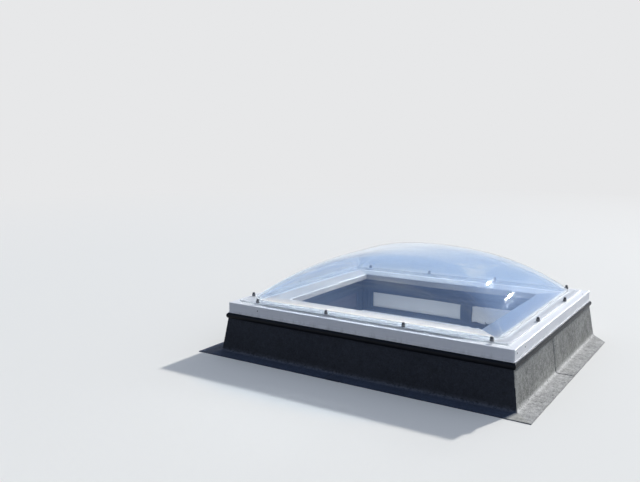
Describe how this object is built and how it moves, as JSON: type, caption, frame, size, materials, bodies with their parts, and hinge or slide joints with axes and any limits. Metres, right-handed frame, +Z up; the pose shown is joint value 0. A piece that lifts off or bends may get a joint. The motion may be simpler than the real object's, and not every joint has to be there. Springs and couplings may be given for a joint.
{
  "type": "roof skylight",
  "caption": "Fixed rectangular roof skylight: a clear double-skin blown dome screwed to a white hollow frame on an insulated timber kerb covered with dark roofing felt.",
  "frame": {"origin": "on the roof surface, at the centre of the covering's footprint, under the kerb", "axes": "+X along the long side, to the right seen from the front; +Y to the back; +Z up"},
  "size_m": [2.29, 1.99, 0.684],
  "materials": {
    "kerb_timber": "dark stained softwood",
    "sheathing_board": "plain plywood",
    "infill_board": "pale faced insulation",
    "roof_felt": "mineral surfaced bitumen felt",
    "trim_black": "black satin",
    "seal_rubber": "black, matt",
    "tape_pale": "pale grey, satin",
    "frame_white": "white, semi gloss",
    "ledge_white": "white, semi gloss",
    "dome_clear": "clear blown sheet",
    "cup_pale": "pale milky moulding",
    "cap_dark": "dark grey moulding",
    "screw_steel": "plain stainless steel"
  },
  "bodies": {
    "root": {"base_gasket": "seal_rubber", "dome_inner": "dome_clear", "dome_outer": "dome_clear", "dome_screws": "screw_steel", "edge_trim_back": "trim_black", "edge_trim_front": "trim_black", "edge_trim_left": "trim_black", "edge_trim_right": "trim_black", "felt_back_left": "roof_felt", "felt_back_right": "roof_felt", "felt_front_left": "roof_felt", "felt_front_right": "roof_felt", "felt_left_left": "roof_felt", "felt_left_right": "roof_felt", "felt_right_left": "roof_felt", "felt_right_right": "roof_felt", "frame_anchors": "screw_steel", "frame_face_screws": "screw_steel", "glazing_tape": "tape_pale", "head_rail_back": "kerb_timber", "head_rail_front": "kerb_timber", "head_rail_left": "kerb_timber", "head_rail_right": "kerb_timber", "infill_panel_back_left": "infill_board", "infill_panel_back_right": "infill_board", "infill_panel_front_left": "infill_board", "infill_panel_front_right": "infill_board", "infill_panel_left_left": "infill_board", "infill_panel_left_right": "infill_board", "infill_panel_right_left": "infill_board", "infill_panel_right_right": "infill_board", "ledge_board_back": "ledge_white", "ledge_board_front": "ledge_white", "ledge_board_left": "ledge_white", "ledge_board_right": "ledge_white", "roof_frame": "frame_white", "screw_caps": "cap_dark", "screw_cups": "cup_pale", "screw_washers": "seal_rubber", "sheathing_back": "sheathing_board", "sheathing_front": "sheathing_board", "sheathing_left": "sheathing_board", "sheathing_right": "sheathing_board", "sole_plate_back": "kerb_timber", "sole_plate_front": "kerb_timber", "sole_plate_left": "kerb_timber", "sole_plate_right": "kerb_timber", "spacer_tape": "tape_pale", "stud_back_left": "kerb_timber", "stud_back_middle": "kerb_timber", "stud_back_right": "kerb_timber", "stud_front_left": "kerb_timber", "stud_front_middle": "kerb_timber", "stud_front_right": "kerb_timber", "stud_left_left": "kerb_timber", "stud_left_middle": "kerb_timber", "stud_left_right": "kerb_timber", "stud_right_left": "kerb_timber", "stud_right_middle": "kerb_timber", "stud_right_right": "kerb_timber"}
  },
  "joints": []
}
